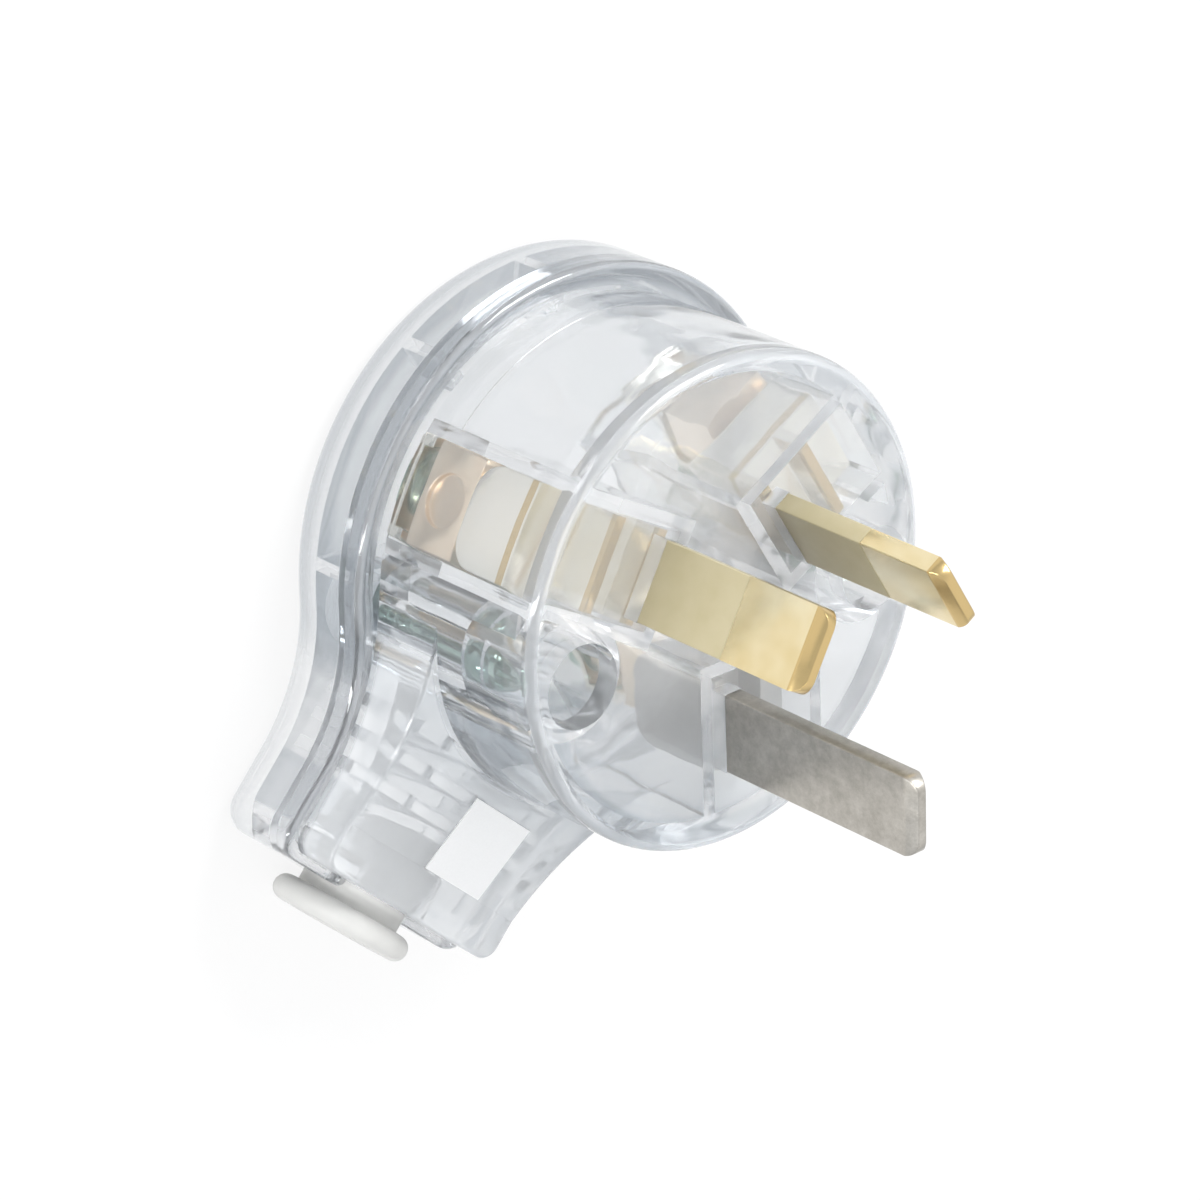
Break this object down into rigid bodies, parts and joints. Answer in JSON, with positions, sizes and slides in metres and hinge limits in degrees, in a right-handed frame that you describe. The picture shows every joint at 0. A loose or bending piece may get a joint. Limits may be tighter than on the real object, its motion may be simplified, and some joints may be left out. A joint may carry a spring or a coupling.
{
  "type": "type i plug",
  "caption": "Rewirable side-entry Type I plug in clear plastic: flanged round body with a cord tail, two angled sleeved pins, an earth pin and the terminals seen inside.",
  "frame": {"origin": "middle of the pin circle, on the flat outer face of the back cover", "axes": "+Z out of the plug along the pins, -Y along the cord as it leaves the tail, +X completes a right-handed frame"},
  "size_m": [0.043, 0.0562, 0.045],
  "materials": {
    "clear_shell": "clear polycarbonate, glossy",
    "soft_bush": "translucent soft plastic",
    "label_paper": "blank paper label",
    "brass": "bright rolled and pressed brass",
    "nickel": "satin nickel plate",
    "pin_sleeve": "olive-cream moulded insulation",
    "zinc_steel": "zinc-plated steel"
  },
  "bodies": {
    "root": {"base_housing": "clear_shell", "back_cover": "clear_shell", "cord_grommet": "soft_bush", "label": "label_paper", "active_pin": "brass", "neutral_pin": "brass", "active_sleeve": "pin_sleeve", "neutral_sleeve": "pin_sleeve", "earth_pin": "nickel", "active_terminal": "brass", "neutral_terminal": "brass", "earth_terminal": "brass", "active_clamp_plate": "brass", "neutral_clamp_plate": "brass", "earth_clamp_plate": "brass", "active_terminal_screw": "zinc_steel", "neutral_terminal_screw": "zinc_steel", "earth_terminal_screw": "zinc_steel", "assembly_screw_right": "zinc_steel", "assembly_screw_left": "zinc_steel"}
  },
  "joints": []
}
